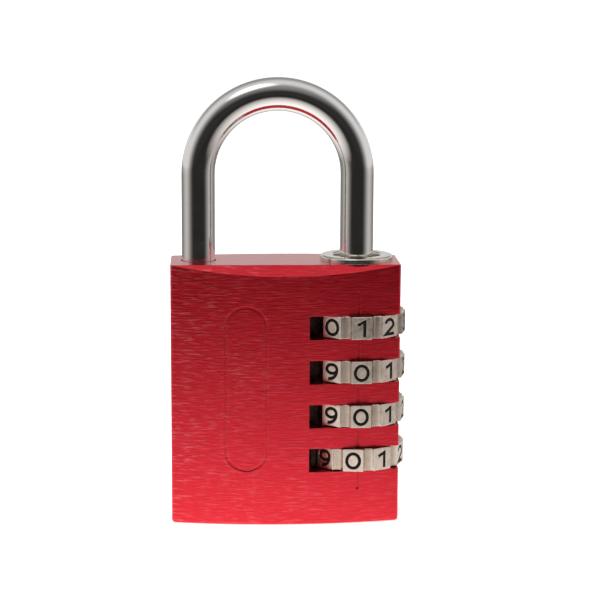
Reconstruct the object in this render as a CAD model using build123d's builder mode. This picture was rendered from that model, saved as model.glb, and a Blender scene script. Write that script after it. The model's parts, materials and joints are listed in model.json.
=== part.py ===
from build123d import *
from math import cos, radians, sin, sqrt
import os

# Resettable four-dial combination padlock, millimetres, +Z up.
# Origin: centre of the flat bottom face. The front face looks along -Y.
# The shackle's heel leg runs down through the dials, toe leg on the other side.

os.makedirs("parts", exist_ok=True)

# ---- driving dimensions -------------------------------------------------
BODY_W = 40.0            # width between the flat sides
BODY_H = 46.0            # height of the body
SIDE_T = 11.3            # depth of each flat side
BULGE = 2.1              # how far the front and back bow out at the middle
CORNER_R = 0.6           # rounding of the upright corners and the bottom rim
EDGE_R = 0.15            # small rounding left by tumbling and anodising
BEVEL_DROP = 1.78        # how far the front bevel comes down at the middle

AXIS_X = 12.65           # the heel leg, the dials and the lock bore share this axis
AXIS_Y = 0.4
TOE_X = -15.12           # toe leg
ROD_R = 2.91             # shackle rod
SHACKLE_TOP = 77.95
TOE_END_Z = 40.0

DIAL_PITCH = 7.85
DIAL_TOP_Z = 35.2        # middle of the top dial
DIAL_H = 4.0
SLOT_H = 4.2
SLOT_LEFT_X = 4.05
PAD_R = 8.6              # axis to the flat of a digit pad
GROOVE_BOTTOM_R = 8.1
GROOVE_CUT_R = 1.05
RELIEF_R = 9.1           # clearance of the dials inside the slots
DIGIT_DEPTH = 0.2
STROKE = 0.56            # width of an engraved stroke

BORE_R = 5.2             # lock bore down the dial axis
BORE_FLOOR_Z = 2.2
SLEEVE_R = 4.4
SLEEVE_KEY_R = 5.0
SLEEVE_CAVITY_R = 3.25
SLEEVE_H = 7.8
SLEEVE_DROP = 4.1        # lower end of a sleeve below the middle of its dial
GATE_Z = 1.4             # gate plate above a sleeve's lower end
GATE_T = 1.8
NECK_R = 2.2             # heel leg turned down inside the sleeves
NECK_TOP_Z = 40.1
FIN_H = 2.35
FIN_Z = 30.0             # underside of the top fin
FIN_ARC = 36.0
GATE_ARC = 60.0
HEEL_END_Z = 5.9
BUSH_FLANGE_R = 6.4
BUSH_HOLE_R = 4.15

DIAL_COUNT = 4
DIGITS = 10
STEP = 360 / DIGITS
# Digit at the index line and how far each dial stands from its click, degrees.
FRONT_DIGIT = [1, 0, 0, 0]
DIAL_TURN = [3.0, 3.0, 2.6, -6.0]

ARC_R = (BODY_W / 2) ** 2 / (2 * BULGE) + BULGE / 2


def dial_z(index):
    """Middle height of a dial, 0 at the top."""
    return DIAL_TOP_Z - index * DIAL_PITCH


def face_y(x):
    """How far the bowed front or back stands from the middle plane at x."""
    return SIDE_T / 2 + BULGE - (ARC_R - sqrt(ARC_R ** 2 - x ** 2))


def front_plane(x, z, depth):
    """Plane tangent to the bowed front at x and z, sunk by depth."""
    turn = x / ARC_R
    outward = Vector(turn, -sqrt(1 - turn ** 2), 0)
    origin = Vector(x, -face_y(x), z) - outward * depth
    return Plane(origin=origin, x_dir=(-outward.Y, outward.X, 0), z_dir=outward)


def axis_plane(z):
    """Level plane centred on the lock axis."""
    return Plane(origin=(AXIS_X, AXIS_Y, z))


def finish(builder, name):
    """Label one finished piece and write it."""
    builder.part.label = name
    export_step(builder.part, f"parts/{name}.step")


# ---- body ---------------------------------------------------------------
OBROUND_X = -6.95
OBROUND_Z = 24.35
OBROUND_W = 7.65
OBROUND_H = 29.4
OBROUND_LINE = 0.55
ENGRAVE = 0.3
INDEX_X = 12.55
INDEX_W = 0.62
INDEX_LOW_Z = 6.2
INDEX_HIGH_Z = 41.5
TOE_HOLE_R = 3.1
TOE_HOLE_Z = 39.0
LEAF_ROOT_Y = -4.6       # saw cut that holds the tail of each click spring
LEAF_T = 0.22
LEAF_CUT_X = 2.8
LEAF_PLAY = 0.1          # room round the leaf in its cut
OVERCUT = 2.0            # how far a cutting shape stands clear of the body

with BuildPart() as body:
    half_w = BODY_W / 2
    half_t = SIDE_T / 2
    with BuildSketch(Plane.XY):
        with BuildLine():
            Line((-half_w, -half_t), (-half_w, half_t))
            ThreePointArc((-half_w, half_t), (0, half_t + BULGE), (half_w, half_t))
            Line((half_w, half_t), (half_w, -half_t))
            ThreePointArc((half_w, -half_t), (0, -half_t - BULGE), (-half_w, -half_t))
        make_face()
    extrude(amount=BODY_H)
    fillet(body.edges().filter_by(Axis.Z), CORNER_R)
    fillet(body.faces().sort_by(Axis.Z)[0].edges(), CORNER_R)
    fillet(body.faces().sort_by(Axis.Z)[-1].edges(), EDGE_R)
    # planar bevel along the top of the bowed front
    with BuildSketch(Plane.YZ.offset(-half_w - OVERCUT)):
        with BuildLine():
            Polyline(
                (-half_t, BODY_H),
                (-half_t - 2 * BULGE, BODY_H - 2 * BEVEL_DROP),
                (-half_t - 2 * BULGE, BODY_H + OVERCUT),
                (-half_t, BODY_H + OVERCUT),
                close=True,
            )
        make_face()
    extrude(amount=BODY_W + 2 * OVERCUT, mode=Mode.SUBTRACT)
    # lock bore, blind, and the toe leg's hole
    with BuildSketch(axis_plane(BODY_H)):
        Circle(BORE_R)
    extrude(amount=BORE_FLOOR_Z - BODY_H, mode=Mode.SUBTRACT)
    with BuildSketch(Plane(origin=(TOE_X, AXIS_Y, BODY_H))):
        Circle(TOE_HOLE_R)
    extrude(amount=TOE_HOLE_Z - BODY_H, mode=Mode.SUBTRACT)
    # slots for the dials, open at the front, the back and the right
    slot_w = half_w + OVERCUT - SLOT_LEFT_X
    for index in range(DIAL_COUNT):
        with BuildSketch(Plane.XY.offset(dial_z(index) - SLOT_H / 2)):
            with Locations((SLOT_LEFT_X + slot_w / 2, 0)):
                Rectangle(slot_w, SIDE_T + 4 * BULGE)
            with Locations((AXIS_X, AXIS_Y)):
                Circle(RELIEF_R)
            with Locations(((LEAF_CUT_X + SLOT_LEFT_X) / 2, LEAF_ROOT_Y)):
                Rectangle(SLOT_LEFT_X - LEAF_CUT_X + 2 * LEAF_PLAY, LEAF_T + LEAF_PLAY)
        extrude(amount=SLOT_H, mode=Mode.SUBTRACT)
    # index line and the plain obround line on the front
    with BuildSketch(front_plane(INDEX_X, (INDEX_LOW_Z + INDEX_HIGH_Z) / 2, ENGRAVE)):
        SlotOverall(INDEX_HIGH_Z - INDEX_LOW_Z, INDEX_W, rotation=90)
    extrude(amount=OVERCUT, mode=Mode.SUBTRACT)
    inner_h = OBROUND_H - 2 * OBROUND_LINE
    inner_w = OBROUND_W - 2 * OBROUND_LINE
    with BuildSketch(front_plane(OBROUND_X, OBROUND_Z, ENGRAVE)):
        SlotOverall(OBROUND_H, OBROUND_W, rotation=90)
        SlotOverall(inner_h, inner_w, rotation=90, mode=Mode.SUBTRACT)
    extrude(amount=OVERCUT, mode=Mode.SUBTRACT)
finish(body, "body")

# ---- shackle ------------------------------------------------------------
LEG_HALF = (AXIS_X - TOE_X) / 2
ARCH_Z = SHACKLE_TOP - ROD_R - LEG_HALF
TOE_CHAMFER = 0.5
with BuildPart() as shackle:
    with BuildLine():
        heel = Line((AXIS_X, AXIS_Y, NECK_TOP_Z), (AXIS_X, AXIS_Y, ARCH_Z))
        arch = ThreePointArc(
            heel @ 1,
            (AXIS_X - LEG_HALF, AXIS_Y, ARCH_Z + LEG_HALF),
            (TOE_X, AXIS_Y, ARCH_Z),
        )
        Line(arch @ 1, (TOE_X, AXIS_Y, TOE_END_Z))
    with BuildSketch(axis_plane(NECK_TOP_Z)):
        Circle(ROD_R)
    sweep()
    chamfer(shackle.faces().sort_by(Axis.Z)[0].edges(), TOE_CHAMFER)
    # turned-down neck with a fin for each code sleeve
    with BuildSketch(axis_plane(HEEL_END_Z)):
        Circle(NECK_R)
    extrude(amount=NECK_TOP_Z - HEEL_END_Z)
    for index in range(DIAL_COUNT):
        with BuildSketch(axis_plane(FIN_Z - index * DIAL_PITCH)):
            with BuildLine():
                rim = CenterArc((0, 0), ROD_R, 90 - FIN_ARC / 2, FIN_ARC)
                Line(rim @ 1, (0, 0))
                Line((0, 0), rim @ 0)
            make_face()
        extrude(amount=FIN_H)
finish(shackle, "shackle")


# ---- heel bush, guide liner, clip and washers ---------------------------
def turned(profile_points, name, rounded=None):
    """A piece turned about the lock axis from its half section."""
    plane = Plane(origin=(AXIS_X, AXIS_Y, 0), x_dir=(1, 0, 0), z_dir=(0, -1, 0))
    with BuildPart() as piece:
        with BuildSketch(plane):
            with BuildLine():
                Polyline(*profile_points, close=True)
            make_face()
        revolve(axis=Axis((AXIS_X, AXIS_Y, 0), (0, 0, 1)))
        if rounded:
            radius, level = rounded
            rims = piece.edges().filter_by(GeomType.CIRCLE).filter_by_position(Axis.Z, *level)
            fillet(rims, radius)
    finish(piece, name)


FLANGE_T = 1.0
FLANGE_ROUND_R = 0.42
FIT = 0.02               # play between two pieces pressed together
LEVEL_BAND = 0.01        # band that picks out one level of edges
BUSH_LOW_Z = 40.05
turned(
    [
        (BUSH_HOLE_R, BUSH_LOW_Z),
        (BORE_R - FIT, BUSH_LOW_Z),
        (BORE_R - FIT, BODY_H),
        (BUSH_FLANGE_R, BODY_H),
        (BUSH_FLANGE_R, BODY_H + FLANGE_T),
        (BUSH_HOLE_R, BODY_H + FLANGE_T),
    ],
    "heel_bush",
    rounded=(FLANGE_ROUND_R, (BODY_H + FLANGE_T - LEVEL_BAND, BODY_H + FLANGE_T + LEVEL_BAND)),
)
LINER_TOP_Z = 46.35
LINER_BORE_R = ROD_R + 0.09
LINER_LIP = 0.15
LINER_LIP_R = LINER_BORE_R + 0.45
LINER_TAPER_H = 0.6
turned(
    [
        (LINER_BORE_R, BUSH_LOW_Z),
        (BUSH_HOLE_R - FIT, BUSH_LOW_Z),
        (BUSH_HOLE_R - FIT, LINER_TOP_Z - LINER_TAPER_H),
        (LINER_LIP_R, LINER_TOP_Z),
        (LINER_BORE_R + LINER_LIP, LINER_TOP_Z),
        (LINER_BORE_R, LINER_TOP_Z - LINER_LIP),
    ],
    "guide_liner",
)
GAP = 0.05               # between the pieces stacked on the axis
WASHER_R = BORE_R - 2 * GAP
UPPER_WASHER_T = 0.4
LOWER_WASHER_T = 0.95
LOWER_WASHER_Z = 6.5
STACK_TOP_Z = DIAL_TOP_Z - SLEEVE_DROP + SLEEVE_H
turned(
    [
        (SLEEVE_CAVITY_R - 2 * GAP, STACK_TOP_Z + GAP),
        (WASHER_R, STACK_TOP_Z + GAP),
        (WASHER_R, STACK_TOP_Z + GAP + UPPER_WASHER_T),
        (SLEEVE_CAVITY_R - 2 * GAP, STACK_TOP_Z + GAP + UPPER_WASHER_T),
    ],
    "upper_washer",
)
turned(
    [
        (SLEEVE_CAVITY_R + GAP, LOWER_WASHER_Z),
        (WASHER_R, LOWER_WASHER_Z),
        (WASHER_R, LOWER_WASHER_Z + LOWER_WASHER_T),
        (SLEEVE_CAVITY_R + GAP, LOWER_WASHER_Z + LOWER_WASHER_T),
    ],
    "lower_washer",
)

CLIP_T = 0.6
CLIP_HOLE_R = NECK_R + 0.12
with BuildPart() as retaining_clip:
    with BuildSketch(axis_plane(STACK_TOP_Z + UPPER_WASHER_T + 2 * GAP)):
        Circle(WASHER_R)
        Circle(CLIP_HOLE_R, mode=Mode.SUBTRACT)
        with Locations((0, -WASHER_R / 2)):
            Rectangle(2 * CLIP_HOLE_R, WASHER_R, mode=Mode.SUBTRACT)
    extrude(amount=CLIP_T)
finish(retaining_clip, "retaining_clip")

# ---- spring under the sleeve stack --------------------------------------
COIL_WIRE_R = 0.45
COIL_R = 4.3
COIL_TURNS = 3
COIL_H = LOWER_WASHER_Z - BORE_FLOOR_Z - 2 * COIL_WIRE_R - 2 * GAP
with BuildPart() as stack_spring:
    with BuildLine():
        coil = Helix(
            pitch=COIL_H / COIL_TURNS,
            height=COIL_H,
            radius=COIL_R,
            center=(AXIS_X, AXIS_Y, BORE_FLOOR_Z + COIL_WIRE_R + GAP),
        )
    with BuildSketch(Plane(origin=coil @ 0, z_dir=coil % 0)):
        Circle(COIL_WIRE_R)
    sweep(is_frenet=True)
finish(stack_spring, "stack_spring")


# ---- dials --------------------------------------------------------------
def ellipse_ring(x, y, half_x, half_y):
    """Closed stroke for round digits."""
    with Locations((x, y)):
        Ellipse(half_x + STROKE / 2, half_y + STROKE / 2)
        Ellipse(half_x - STROKE / 2, half_y - STROKE / 2, mode=Mode.SUBTRACT)


def digit(number):
    """Engraved outline of one digit, 3 mm high, on the current sketch."""
    if number == 0:
        ellipse_ring(0, 0, 1.12, 1.28)
        return
    if number in (3, 8):
        ellipse_ring(0, 0.68, 0.8, 0.6)
        ellipse_ring(0, -0.58, 0.98, 0.7)
        if number == 3:
            with Locations((-0.9, 0.02)):
                Rectangle(1.4, 1.6, mode=Mode.SUBTRACT)
        return
    if number == 5:
        ellipse_ring(-0.05, -0.55, 0.98, 0.75)
        with Locations((-0.95, -0.55)):
            Rectangle(1.2, 0.7, mode=Mode.SUBTRACT)
    side = -1 if number == 9 else 1
    if number in (6, 9):
        ellipse_ring(0, -0.5 * side, 1.0, 0.78)
    with BuildLine() as strokes:
        if number == 1:
            Polyline((-0.78, 0.6), (0.45, 1.2), (0.45, -1.5))
        elif number == 2:
            bow = ThreePointArc((0.82, 0.1), (0.05, 1.28), (-0.98, 0.62))
            Polyline(bow @ 0, (-0.95, -1.28), (1.05, -1.28))
        elif number == 4:
            Polyline((1.1, -0.6), (-1.0, -0.6), (0.2, 1.28))
            Line((0.5, 0.1), (0.5, -1.5))
        elif number == 5:
            Polyline((0.85, 1.28), (-0.62, 1.28), (-0.8, -0.1))
        elif number == 7:
            Polyline((-0.95, 1.28), (0.98, 1.28), (-0.35, -1.5))
        else:
            low = (-1.0 * side, -0.5 * side)
            ThreePointArc(low, (-0.62 * side, 0.72 * side), (0.75 * side, 1.28 * side))
    trace(strokes.edges(), line_width=STROKE)


SLEEVE_CLEARANCE = 0.1
KEY_W = 1.2
DIAL_CHAMFER = 0.15
for index in range(DIAL_COUNT):
    zero_angle = -90 + DIAL_TURN[index] - STEP * FRONT_DIGIT[index]
    groove_angle = zero_angle + STEP / 2
    low_z = dial_z(index) - DIAL_H / 2
    with BuildPart() as dial:
        with BuildSketch(axis_plane(low_z)):
            RegularPolygon(PAD_R, DIGITS, major_radius=False, rotation=groove_angle)
            with PolarLocations(GROOVE_BOTTOM_R + GROOVE_CUT_R, DIGITS, start_angle=groove_angle):
                Circle(GROOVE_CUT_R, mode=Mode.SUBTRACT)
        extrude(amount=DIAL_H)
        chamfer(dial.edges().group_by(Axis.Z)[-1] + dial.edges().group_by(Axis.Z)[0], DIAL_CHAMFER)
        with BuildSketch(axis_plane(low_z)):
            Circle(SLEEVE_R + SLEEVE_CLEARANCE)
            with PolarLocations(SLEEVE_R, DIGITS, start_angle=zero_angle):
                Rectangle(2 * (SLEEVE_KEY_R + SLEEVE_CLEARANCE - SLEEVE_R), KEY_W + 2 * SLEEVE_CLEARANCE)
        extrude(amount=DIAL_H, mode=Mode.SUBTRACT)
        for number in range(DIGITS):
            angle = radians(zero_angle + STEP * number)
            outward = Vector(cos(angle), sin(angle), 0)
            centre = Vector(AXIS_X, AXIS_Y, dial_z(index)) + outward * PAD_R
            with BuildSketch(Plane(origin=centre, x_dir=(-outward.Y, outward.X, 0), z_dir=outward)):
                digit(number)
            extrude(amount=-DIGIT_DEPTH, mode=Mode.SUBTRACT)
    finish(dial, f"dial_ring_{index + 1}")

# ---- code sleeves -------------------------------------------------------
GATE_HOLE_R = NECK_R + 0.15
GATE_ROOT = 0.1          # how far a gate plate reaches into the sleeve wall
for index in range(DIAL_COUNT):
    low_z = dial_z(index) - SLEEVE_DROP
    key_angle = -90 + DIAL_TURN[index]
    gate_angle = 90 + DIAL_TURN[index]
    with BuildPart() as sleeve:
        with BuildSketch(axis_plane(low_z)):
            Circle(SLEEVE_R)
            with PolarLocations(SLEEVE_R, 2, start_angle=key_angle):
                Rectangle(2 * (SLEEVE_KEY_R - SLEEVE_R), KEY_W)
            Circle(SLEEVE_CAVITY_R, mode=Mode.SUBTRACT)
        extrude(amount=SLEEVE_H)
        with BuildSketch(axis_plane(low_z + GATE_Z)):
            Circle(SLEEVE_CAVITY_R + GATE_ROOT)
            Circle(GATE_HOLE_R, mode=Mode.SUBTRACT)
            with BuildLine():
                rim = CenterArc((0, 0), SLEEVE_CAVITY_R, gate_angle - GATE_ARC / 2, GATE_ARC)
                Line(rim @ 1, (0, 0))
                Line((0, 0), rim @ 0)
            make_face(mode=Mode.SUBTRACT)
        extrude(amount=GATE_T)
    finish(sleeve, f"code_sleeve_{index + 1}")

# ---- click springs ------------------------------------------------------
# A bent leaf at the front left of each dial; its nose sits in a dial groove, or on
# the pads of a dial that stands between clicks.
LEAF_H = 3.4
LEAF_ELBOW_X = 4.5
LEAF_ANGLE = -144
NOSE_LEG = 1.05
NOSE_BEND_R = 0.25
LIFTED_R = PAD_R / cos(radians(STEP / 2)) - 0.18
for index in range(DIAL_COUNT):
    lifted = DIAL_TURN[index] < 0
    nose_r = LIFTED_R if lifted else GROOVE_BOTTOM_R + NOSE_BEND_R
    nose_angle = radians(LEAF_ANGLE + (0 if lifted else DIAL_TURN[index]))
    nose_x = AXIS_X + nose_r * cos(nose_angle)
    nose_y = AXIS_Y + nose_r * sin(nose_angle)
    with BuildPart() as leaf:
        with BuildSketch(Plane.XY.offset(dial_z(index) - LEAF_H / 2)):
            with BuildLine():
                FilletPolyline(
                    (LEAF_CUT_X + LEAF_PLAY, LEAF_ROOT_Y),
                    (LEAF_ELBOW_X, LEAF_ROOT_Y),
                    (nose_x, nose_y),
                    (nose_x - NOSE_LEG, nose_y - NOSE_LEG),
                    radius=NOSE_BEND_R,
                )
            trace(line_width=LEAF_T)
        extrude(amount=LEAF_H)
    finish(leaf, f"click_spring_{index + 1}")
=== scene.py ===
"""Looks of a four-dial combination padlock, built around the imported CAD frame. Metres, +Z up."""

import json
from math import cos, sin

import bmesh
import bpy
from mathutils import Matrix, Vector


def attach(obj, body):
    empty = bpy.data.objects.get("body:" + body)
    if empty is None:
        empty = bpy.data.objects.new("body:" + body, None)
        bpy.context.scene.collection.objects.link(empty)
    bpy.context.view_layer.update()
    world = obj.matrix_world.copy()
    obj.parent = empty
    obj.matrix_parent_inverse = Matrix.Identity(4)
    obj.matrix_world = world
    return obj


MM = 0.001
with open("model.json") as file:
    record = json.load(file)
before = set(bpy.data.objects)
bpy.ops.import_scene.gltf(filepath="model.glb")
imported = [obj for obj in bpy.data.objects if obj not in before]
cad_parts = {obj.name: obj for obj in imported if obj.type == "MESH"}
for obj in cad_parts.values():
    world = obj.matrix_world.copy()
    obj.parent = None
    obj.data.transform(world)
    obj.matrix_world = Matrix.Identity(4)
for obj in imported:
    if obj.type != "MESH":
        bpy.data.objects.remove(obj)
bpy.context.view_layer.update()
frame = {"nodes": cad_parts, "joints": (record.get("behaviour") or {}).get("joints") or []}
nodes = frame["nodes"]
joints = {joint["name"]: joint for joint in frame["joints"]}

# ---- studio tones in reflections, by the Y of the reflected direction ------
DARK_FRONT = 0.03
PALE_SIDE = 0.76
GREY_BACK = 0.42         # share of the side tone that is left straight behind
FRONT_EDGE = (-0.85, -0.05)
BACK_EDGE = (0.05, 0.75)
CARD_FADE = (0.5, 2.5)   # metres over which the card takes on the world's tones
LAMP_DIRECTION = Vector((-0.28, -0.32, 0.9)).normalized()
LAMP_EDGE = (0.93, 0.99)

# ---- the dials, from the CAD -----------------------------------------------
PAD_R = 8.6 * MM
DIGIT_FLOOR = PAD_R - 0.2 * MM
INK_TOP = PAD_R - 0.02 * MM
GROOVE_BOTTOM_R = 8.15 * MM
GROOVE_TOP_R = 8.5 * MM

# ---- places read from the frame ------------------------------------------
DIALS = sorted(name for name in nodes if name.startswith("dial_ring_"))
AXIS = Vector(joints["dial_1_turn"]["pos_m"])


# ---- node helpers ----------------------------------------------------------
class Nodes:
    """A node tree, with short ways to add and link nodes."""

    def __init__(self, tree):
        self.tree = tree

    def add(self, kind, inputs=None, **settings):
        """A node with its settings; inputs are constants or other nodes' outputs."""
        node = self.tree.nodes.new(kind)
        for key, value in settings.items():
            setattr(node, key, value)
        for key, value in (inputs or {}).items():
            if isinstance(value, bpy.types.NodeSocket):
                self.tree.links.new(value, node.inputs[key])
            else:
                node.inputs[key].default_value = value
        return node

    def maths(self, operation, first, second=0.0):
        """One Math node's result."""
        return self.add("ShaderNodeMath", {0: first, 1: second}, operation=operation).outputs[0]

    def vector_maths(self, operation, first, second, output):
        """One output of a Vector Math node."""
        node = self.add("ShaderNodeVectorMath", {0: first, 1: second}, operation=operation)
        return node.outputs[output]

    def parts(self, vector):
        """The X, Y and Z outputs of a vector."""
        return self.add("ShaderNodeSeparateXYZ", {0: vector}).outputs

    def spread(self, value, low, high, to_low=0.0, to_high=1.0, smooth=False):
        """value from low to high made to_low to to_high, clamped."""
        inputs = {
            "Value": value,
            "From Min": low,
            "From Max": high,
            "To Min": to_low,
            "To Max": to_high,
        }
        kind = "SMOOTHSTEP" if smooth else "LINEAR"
        return self.add("ShaderNodeMapRange", inputs, interpolation_type=kind).outputs[0]


class Tree(Nodes):
    """A new material's nodes, round its own shader."""

    def __init__(self, name):
        self.material = bpy.data.materials.new(name)
        self.material.use_nodes = True
        super().__init__(self.material.node_tree)
        self.shader = self.tree.nodes["Principled BSDF"]
        self.coords = self.add("ShaderNodeTexCoord").outputs["Object"]

    def stretched(self, x, y, z, source=None):
        """Object coordinates in millimetres, times x, y and z."""
        inputs = {"Vector": source or self.coords, "Scale": (x / MM, y / MM, z / MM)}
        return self.add("ShaderNodeMapping", inputs).outputs[0]

    def noise(self, vector, detail=3.0, roughness=0.6):
        """Noise value, about 0.3 to 0.7, at one feature per unit."""
        inputs = {"Vector": vector, "Scale": 1.0, "Detail": detail, "Roughness": roughness}
        return self.add("ShaderNodeTexNoise", inputs).outputs[0]

    def blend(self, factor, first, second):
        """Mix of two colours or two colour outputs."""
        node = self.add("ShaderNodeMix", {0: factor}, data_type="RGBA")
        for socket, value in ((6, first), (7, second)):
            if isinstance(value, bpy.types.NodeSocket):
                self.tree.links.new(value, node.inputs[socket])
            else:
                node.inputs[socket].default_value = (*value, 1.0)
        return node.outputs[2]

    def blend_values(self, factor, first, second):
        """Mix of two numbers."""
        node = self.add("ShaderNodeMix", {0: factor, 2: first, 3: second}, data_type="FLOAT")
        return node.outputs[0]

    def link(self, output, name):
        """Link an output to the shader's own socket."""
        self.tree.links.new(output, self.shader.inputs[name])

    def constant(self, **values):
        """Constants on the shader's own sockets."""
        for name, value in values.items():
            self.shader.inputs[name.replace("_", " ")].default_value = value

    def edge_normal(self, radius_mm):
        """Normal that rounds sharp edges by a small radius."""
        return self.add("ShaderNodeBevel", {"Radius": radius_mm * MM}, samples=6).outputs[0]

    def edge_mask(self, rounded):
        """1 on an edge that the rounded normal bends over, else 0."""
        plain = self.add("ShaderNodeNewGeometry").outputs["Normal"]
        return self.spread(self.vector_maths("DOT_PRODUCT", rounded, plain, "Value"), 0.995, 0.9)

    def bump(self, height, depth_mm, normal=None):
        """Bump of a real depth; goes to the shader's normal."""
        inputs = {"Height": height, "Distance": depth_mm * MM, "Strength": 1.0}
        if normal is not None:
            inputs["Normal"] = normal
        self.link(self.add("ShaderNodeBump", inputs).outputs[0], "Normal")


# ---- materials --------------------------------------------------------------
def red_anodised():
    """Horizontally brushed red anodised aluminium, with painted highlights: short bright glint
    streaks along the brushing, and pink along the edges.
    """
    tree = Tree("red_anodised_brushed")
    tree.constant(Metallic=1.0, Coat_Roughness=0.25)
    normal = tree.add("ShaderNodeNewGeometry").outputs["Normal"]
    upright = tree.maths("ABSOLUTE", tree.parts(normal)["Z"])
    level = tree.maths("GREATER_THAN", upright, 0.8)
    wall_coat, top_coat = 0.35, 0.9
    tree.link(tree.blend_values(level, wall_coat, top_coat), "Coat Weight")

    def brushed(length, fine, detail):
        """Streaks of one length and fineness, along X on every face."""
        walls = tree.noise(tree.stretched(length, length, fine), detail)
        tops = tree.noise(tree.stretched(length, fine, length), detail)
        return tree.blend_values(level, walls, tops)

    coarse = brushed(0.42, 3.4, 2.0)
    fine = brushed(0.3, 11.0, 3.0)
    patches = tree.noise(tree.stretched(0.09, 0.09, 0.07), 2.0)
    # painted highlight: bright pink glints along the brushing, denser towards the left edge where
    # the light comes from, and in patches
    glint_streaks = tree.spread(coarse, 0.52, 0.72)
    left = tree.spread(tree.parts(tree.coords)["X"], 10 * MM, -20 * MM, 0.25, 1.0)
    glint_patches = tree.maths("MULTIPLY", left, tree.spread(patches, 0.35, 0.65, 0.4, 1.0))
    glint_mask = tree.maths("MULTIPLY", glint_streaks, glint_patches)
    deep_red, clear_red = (0.62, 0.012, 0.026), (0.84, 0.022, 0.044)
    # painted highlight colours: pink glints on the brushing, and a paler pink on the edges
    glint_pink, edge_highlight_pink = (0.95, 0.2, 0.24), (0.95, 0.3, 0.34)
    colour = tree.blend(tree.spread(fine, 0.35, 0.7), deep_red, clear_red)
    colour = tree.blend(tree.maths("MULTIPLY", glint_mask, 0.75), colour, glint_pink)
    # painted highlight along sharp edges: colour drawn towards pink where the rounded normal bends
    rounded = tree.edge_normal(0.12)
    edges = tree.edge_mask(rounded)
    colour = tree.blend(tree.maths("MULTIPLY", edges, 0.15), colour, edge_highlight_pink)
    tree.link(colour, "Base Color")
    tree.link(tree.spread(fine, 0.3, 0.7, 0.27, 0.4), "Roughness")
    height = tree.maths("ADD", coarse, tree.maths("MULTIPLY", fine, 0.5))
    tree.bump(height, 0.034, rounded)
    return tree.material


def chrome():
    """Polished chrome with hairline scratches and faint handling marks."""
    tree = Tree("shackle_chrome_polished")
    tree.constant(Metallic=1.0)
    hairs = tree.noise(tree.stretched(9.0, 9.0, 0.7), 4.0, 0.7)
    marks = tree.noise(tree.stretched(0.35, 0.35, 0.22), 3.0)
    specks = tree.noise(tree.stretched(2.6, 2.6, 2.2), 3.0, 0.75)
    smudge = tree.maths("MULTIPLY", tree.spread(specks, 0.6, 0.75), tree.spread(marks, 0.5, 0.62))
    clean, smudged = (0.83, 0.81, 0.80), (0.62, 0.6, 0.6)
    tree.link(tree.blend(smudge, clean, smudged), "Base Color")
    rough = tree.spread(marks, 0.35, 0.65, 0.05, 0.11)
    tree.link(tree.maths("ADD", rough, tree.maths("MULTIPLY", smudge, 0.16)), "Roughness")
    tree.bump(tree.maths("ADD", hairs, tree.maths("MULTIPLY", specks, 0.4)), 0.0022)
    return tree.material


def axis_radius_and_height(tree):
    """Distance from the lock axis, and height from the top dial's middle, in metres."""
    centred = tree.parts(tree.vector_maths("SUBTRACT", tree.coords, AXIS, 0))
    flat = tree.add("ShaderNodeCombineXYZ", {0: centred["X"], 1: centred["Y"]}).outputs[0]
    radius = tree.add("ShaderNodeVectorMath", {0: flat}, operation="LENGTH").outputs["Value"]
    return radius, centred["Z"]


def turning_rings(tree, per_mm):
    """Fine rings round the lock axis, as a lathe leaves them."""
    radius, height = axis_radius_and_height(tree)
    line = tree.add("ShaderNodeCombineXYZ", {0: radius, 1: height}).outputs[0]
    return tree.noise(tree.stretched(per_mm, per_mm, per_mm, line), 4.0, 0.7)


def bush_nickel():
    """Polished nickel with turning marks round the lock axis."""
    tree = Tree("bush_nickel_polished")
    tree.constant(Metallic=1.0)
    rounded = tree.edge_normal(0.1)
    specks = tree.noise(tree.stretched(1.4, 1.4, 1.4), 3.0)
    light, dull = (0.74, 0.68, 0.61), (0.6, 0.55, 0.5)
    tree.link(tree.blend(tree.spread(specks, 0.4, 0.7), light, dull), "Base Color")
    tree.link(tree.spread(specks, 0.35, 0.7, 0.1, 0.2), "Roughness")
    tree.bump(turning_rings(tree, 5.0), 0.003, rounded)
    return tree.material


def dial_nickel():
    """Satin nickel dials: upright brushing, painted shade in the grooves, painted highlight on the
    edges.
    """
    tree = Tree("dial_nickel_satin")
    tree.constant(Metallic=1.0)
    grain = tree.noise(tree.stretched(7.0, 7.0, 0.9), 4.0, 0.65)
    blotch = tree.noise(tree.stretched(0.9, 0.9, 0.9), 3.0)
    warm_grey, pale_beige = (0.62, 0.53, 0.46), (0.82, 0.71, 0.62)
    groove_shade_brown, edge_highlight_pale = (0.30, 0.23, 0.18), (0.93, 0.86, 0.82)
    colour = tree.blend(tree.spread(blotch, 0.35, 0.65), warm_grey, pale_beige)
    # painted shade in the grooves: darker brown below GROOVE_TOP_R, strongest at GROOVE_BOTTOM_R
    radius, _ = axis_radius_and_height(tree)
    groove_shade = tree.spread(radius, GROOVE_BOTTOM_R, GROOVE_TOP_R, 0.4, 0.0)
    colour = tree.blend(groove_shade, colour, groove_shade_brown)
    # painted highlight: edges drawn towards pale where the rounded normal bends
    rounded = tree.edge_normal(0.1)
    edges = tree.maths("MULTIPLY", tree.edge_mask(rounded), 0.7)
    colour = tree.blend(edges, colour, edge_highlight_pale)
    tree.link(colour, "Base Color")
    tree.link(tree.spread(blotch, 0.3, 0.7, 0.24, 0.38), "Roughness")
    tree.bump(tree.maths("ADD", grain, tree.maths("MULTIPLY", blotch, 0.8)), 0.01, rounded)
    return tree.material


def digit_ink():
    """Black paint filling the engraved digits."""
    tree = Tree("digit_ink_black")
    grain = tree.noise(tree.stretched(6.0, 6.0, 6.0), 3.0)
    black, worn_black = (0.003, 0.002, 0.002), (0.012, 0.009, 0.008)
    tree.link(tree.blend(tree.spread(grain, 0.3, 0.7), black, worn_black), "Base Color")
    tree.constant(Specular_IOR_Level=0.15)
    tree.link(tree.spread(grain, 0.3, 0.7, 0.45, 0.7), "Roughness")
    tree.bump(grain, 0.01)
    return tree.material


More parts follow.
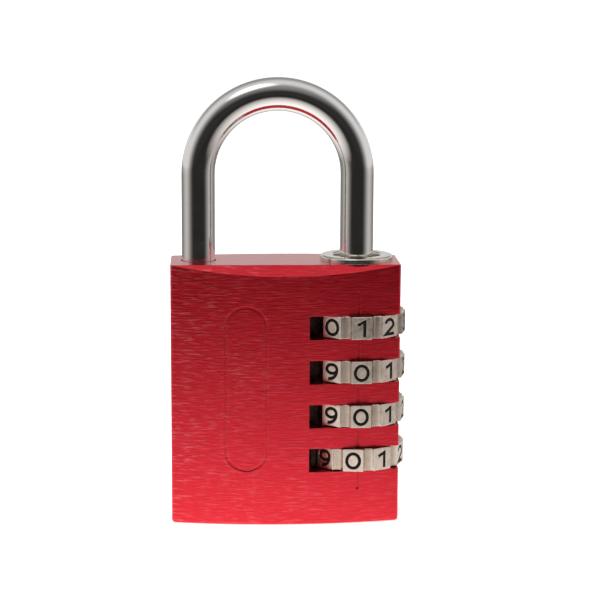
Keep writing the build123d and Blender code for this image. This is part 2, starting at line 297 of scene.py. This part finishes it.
def plain_metal(name, dark, light, rough_low, rough_high, rings_per_mm=4.0):
    """Machined metal of the inner pieces."""
    tree = Tree(name)
    tree.constant(Metallic=1.0)
    blotch = tree.noise(tree.stretched(1.2, 1.2, 1.2), 3.0)
    tree.link(tree.blend(tree.spread(blotch, 0.35, 0.65), dark, light), "Base Color")
    tree.link(tree.spread(blotch, 0.3, 0.7, rough_low, rough_high), "Roughness")
    tree.bump(turning_rings(tree, rings_per_mm), 0.006, tree.edge_normal(0.06))
    return tree.material


def pale_floor():
    """Pale matt floor with the faintest unevenness."""
    tree = Tree("floor_pale")
    cloud = tree.noise(tree.stretched(0.004, 0.004, 0.004), 2.0)
    tree.link(tree.blend(cloud, (0.90, 0.90, 0.90), (0.93, 0.93, 0.93)), "Base Color")
    tree.constant(Roughness=0.9, Specular_IOR_Level=0.0)
    tree.constant(Emission_Color=(1, 1, 1, 1), Emission_Strength=0.55)
    return tree.material


def floor_card():
    """Studio card seen only in reflections: pale near the lock, dark in front, grey behind."""
    tree = Tree("card_shaded")
    across = tree.parts(tree.coords)
    away = tree.add("ShaderNodeVectorMath", {0: tree.coords}, operation="LENGTH").outputs["Value"]
    facing = tree.maths("DIVIDE", across["Y"], away)
    sides = tree.spread(facing, *FRONT_EDGE, DARK_FRONT, PALE_SIDE, smooth=True)
    behind = tree.spread(facing, *BACK_EDGE, smooth=True)
    # far off the card meets the world's tones at the horizon
    shade = tree.maths("MULTIPLY", behind, tree.spread(away, *CARD_FADE, 1.0 - GREY_BACK, 0.0))
    level = tree.maths("MULTIPLY", sides, tree.maths("SUBTRACT", 1.0, shade))
    level = tree.maths("MULTIPLY", level, tree.spread(away, *CARD_FADE, 0.74, 1.0))
    left = tree.spread(across["X"], 0.14, -0.16, 0.55, 1.15)
    near = tree.maths("POWER", tree.spread(away, 0.30, 0.02), 1.8)
    near = tree.maths("MULTIPLY", tree.maths("MULTIPLY", near, left), 1.6)
    tree.constant(Base_Color=(0, 0, 0, 1), Roughness=1.0, Specular_IOR_Level=0.0)
    tree.constant(Emission_Color=(1.0, 0.96, 0.92, 1))
    tree.link(tree.maths("MAXIMUM", near, level), "Emission Strength")
    return tree.material


# ---- pieces -------------------------------------------------------------------
def link_object(name, mesh):
    """A new object in the scene."""
    obj = bpy.data.objects.new(name, mesh)
    bpy.context.scene.collection.objects.link(obj)
    return obj


def ink_of(dial, name):
    """Solid paint in the engraved digits of one dial, from the floors of its engraving."""
    source = bmesh.new()
    source.from_mesh(dial.data)
    bmesh.ops.remove_doubles(source, verts=source.verts, dist=1e-7)
    source.normal_update()

    def is_floor(face):
        if abs(face.normal.z) > 0.01:
            return False
        depth = (face.calc_center_median() - AXIS).dot(face.normal)
        return abs(depth - DIGIT_FLOOR) < 0.02 * MM

    made = bmesh.new()
    for face in (f for f in source.faces if is_floor(f)):
        rise = face.normal * (INK_TOP - DIGIT_FLOOR)
        low = [v.co + face.normal * 0.01 * MM for v in face.verts]
        top = [v.co + rise for v in face.verts]
        made.faces.new([made.verts.new(co) for co in top])
        made.faces.new([made.verts.new(co) for co in reversed(low)])
        for index, edge in enumerate(face.edges):
            if all(is_floor(other) for other in edge.link_faces):
                continue
            following = (index + 1) % len(low)
            side = (low[index], low[following], top[following], top[index])
            made.faces.new([made.verts.new(co) for co in side])
    bmesh.ops.remove_doubles(made, verts=made.verts, dist=1e-7)
    mesh = bpy.data.meshes.new(name)
    made.to_mesh(mesh)
    made.free()
    source.free()
    return link_object(name, mesh)


def paint(obj, material):
    """Give an object this one material."""
    if obj.material_slots:
        for slot in obj.material_slots:
            slot.material = material
    else:
        obj.data.materials.append(material)


def dress_frame():
    """Materials on the CAD nodes, and the paint in the dials."""
    brass = plain_metal("sleeve_brass_turned", (0.56, 0.40, 0.16), (0.74, 0.56, 0.27), 0.22, 0.36)
    washer = plain_metal("washer_brass_stamped", (0.5, 0.37, 0.16), (0.7, 0.55, 0.28), 0.3, 0.45)
    steel = plain_metal("spring_steel_drawn", (0.25, 0.24, 0.23), (0.45, 0.43, 0.41), 0.2, 0.35)
    clip = plain_metal("clip_steel_stamped", (0.36, 0.36, 0.36), (0.55, 0.55, 0.55), 0.28, 0.42)
    # click springs: blued steel, made near black as painted shade where they sit deep beside the
    # dials
    leaf_dark_for_shade = plain_metal("click_spring_blued_shade_dark", (0.035, 0.026, 0.024), (0.09, 0.06, 0.055), 0.4, 0.6)
    liner = plain_metal("liner_steel_turned", (0.5, 0.47, 0.45), (0.7, 0.67, 0.65), 0.12, 0.25)
    looks = {
        "body": red_anodised(),
        "shackle": chrome(),
        "heel_bush": bush_nickel(),
        "guide_liner": liner,
        "retaining_clip": clip,
        "upper_washer": washer,
        "lower_washer": washer,
        "stack_spring": steel,
    }
    dial_look = dial_nickel()
    for name, obj in nodes.items():
        if name in looks:
            paint(obj, looks[name])
        elif name.startswith("dial_ring"):
            paint(obj, dial_look)
        elif name.startswith("code_sleeve"):
            paint(obj, brass)
        else:
            paint(obj, leaf_dark_for_shade)
    ink = digit_ink()
    for name in DIALS:
        number = name.rsplit("_", 1)[1]
        piece = ink_of(nodes[name], f"dial_ink_{number}")
        paint(piece, ink)
        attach(piece, f"dial_{number}")


# ---- stage ----------------------------------------------------------------------
STAGE_HALF = 12.0
CARD_LIFT = 0.0003
LIT_POINT = Vector((0, 0, 0.03))


def level_panel(name, height, material):
    """A level stage panel at this height."""
    mesh = bpy.data.meshes.new(name)
    turns = ((-1, -1), (1, -1), (1, 1), (-1, 1))
    corners = [(x * STAGE_HALF, y * STAGE_HALF, height) for x, y in turns]
    mesh.from_pydata(corners, [], [(0, 1, 2, 3)])
    panel = link_object(name, mesh)
    paint(panel, material)
    return panel


def reflected_only(panel):
    """The panel shows in reflections and nowhere else."""
    panel.visible_camera = False
    panel.visible_diffuse = False
    panel.visible_shadow = False
    panel.visible_transmission = False


def softbox(name, place, size, power):
    """A rectangular light aimed at the lock, not seen in reflections."""
    light = bpy.data.lights.new(name, "AREA")
    light.shape = "RECTANGLE"
    light.size, light.size_y = size
    light.energy = power
    lamp = bpy.data.objects.new(name, light)
    bpy.context.scene.collection.objects.link(lamp)
    lamp.location = place
    lamp.visible_glossy = False
    lamp.rotation_mode = "QUATERNION"
    lamp.rotation_quaternion = (LIT_POINT - Vector(place)).to_track_quat("-Z", "Y")


def build_stage():
    """Pale floor, the card on it that only reflections see, and soft light."""
    level_panel("floor", 0.0, pale_floor())
    reflected_only(level_panel("card_floor", CARD_LIFT, floor_card()))
    softbox("softbox_top", (-0.05, -0.05, 0.62), (0.3, 0.25), 3.0)
    softbox("softbox_left", (-0.7, 0.15, 0.25), (0.4, 0.5), 2.0)


def build_world():
    """Dark in front, pale at the sides, grey behind and above, with a soft lamp overhead."""
    world = bpy.data.worlds.new("studio")
    world.use_nodes = True
    bpy.context.scene.world = world
    sky = Nodes(world.node_tree)
    direction = sky.add("ShaderNodeTexCoord").outputs["Generated"]
    axes = sky.parts(direction)
    sides = sky.spread(axes["Y"], *FRONT_EDGE, DARK_FRONT, PALE_SIDE, smooth=True)
    behind = sky.spread(axes["Y"], *BACK_EDGE, smooth=True)
    shade = sky.spread(axes["Z"], 0.2, 0.45, 0.0, 1.0 - GREY_BACK, smooth=True)
    shade = sky.maths("SUBTRACT", 1.0, sky.maths("MULTIPLY", behind, shade))
    level = sky.maths("MULTIPLY", sides, shade)
    above = sky.spread(axes["Z"], 0.2, 0.9, 0.0, 0.3, smooth=True)
    towards = sky.vector_maths("DOT_PRODUCT", direction, LAMP_DIRECTION, "Value")
    lamp = sky.spread(towards, *LAMP_EDGE, smooth=True)
    light = sky.maths("ADD", sky.maths("MAXIMUM", level, above), lamp)
    # the camera itself sees an even white behind the lock
    seen = sky.add("ShaderNodeLightPath").outputs["Is Camera Ray"]
    background = world.node_tree.nodes["Background"]
    background.inputs["Color"].default_value = (1.0, 0.995, 0.985, 1.0)
    world.node_tree.links.new(sky.maths("MAXIMUM", light, seen), background.inputs["Strength"])


def build_camera():
    """Three-quarter front view from a little above and to the left."""
    place = Vector((-13.93, -322.5, 96.43)) * MM
    yaw, pitch, roll = 0.0516, 0.1765, -0.0049
    forward = Vector((sin(yaw) * cos(pitch), cos(yaw) * cos(pitch), -sin(pitch)))
    level_right = Vector((cos(yaw), -sin(yaw), 0))
    level_up = level_right.cross(forward)
    right = level_right * cos(roll) - level_up * sin(roll)
    up = level_right * sin(roll) + level_up * cos(roll)
    camera = bpy.data.cameras.new("camera")
    camera.sensor_width = 36.0
    camera.lens = 111.56
    camera.clip_start = 0.01
    camera.clip_end = 50.0
    obj = bpy.data.objects.new("camera", camera)
    bpy.context.scene.collection.objects.link(obj)
    turn = Matrix((right, up, -forward)).transposed().to_4x4()
    obj.matrix_world = Matrix.Translation(place) @ turn
    bpy.context.scene.camera = obj


dress_frame()
build_stage()
build_world()
build_camera()
bpy.context.scene.view_settings.view_transform = "Standard"
